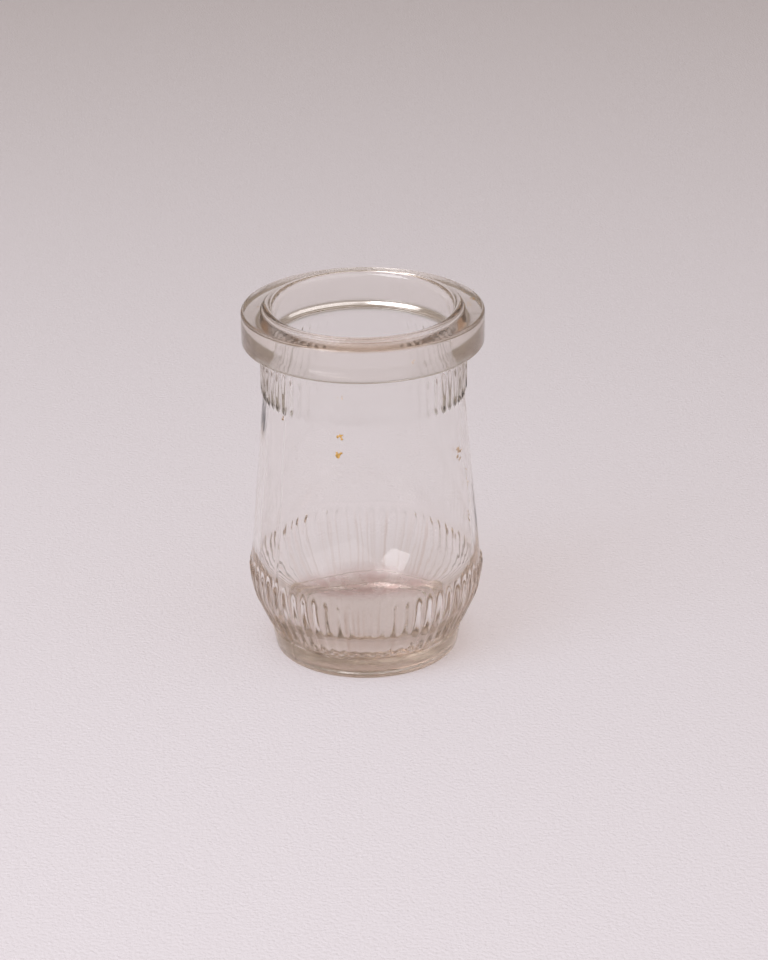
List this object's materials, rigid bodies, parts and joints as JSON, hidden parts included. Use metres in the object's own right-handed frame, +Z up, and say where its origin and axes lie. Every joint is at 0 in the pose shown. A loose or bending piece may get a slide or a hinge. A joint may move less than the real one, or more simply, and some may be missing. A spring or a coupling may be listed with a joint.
{
  "type": "ink bottle",
  "caption": "Clear glass wide-mouth ink bottle with a flanged rim, a raised lip and ribbed bands around its neck and belly.",
  "frame": {"origin": "centre of the foot's standing ring, on the surface that the bottle stands on", "axes": "+Z up along the bottle's axis, out of the mouth; -Y is the front of the pictured view"},
  "size_m": [0.045, 0.045, 0.0687],
  "materials": {
    "clear_glass": "fire-polished pressed glass, faintly warm grey, slightly wavy"
  },
  "bodies": {
    "root": {"glass_bottle": "clear_glass"}
  },
  "joints": []
}
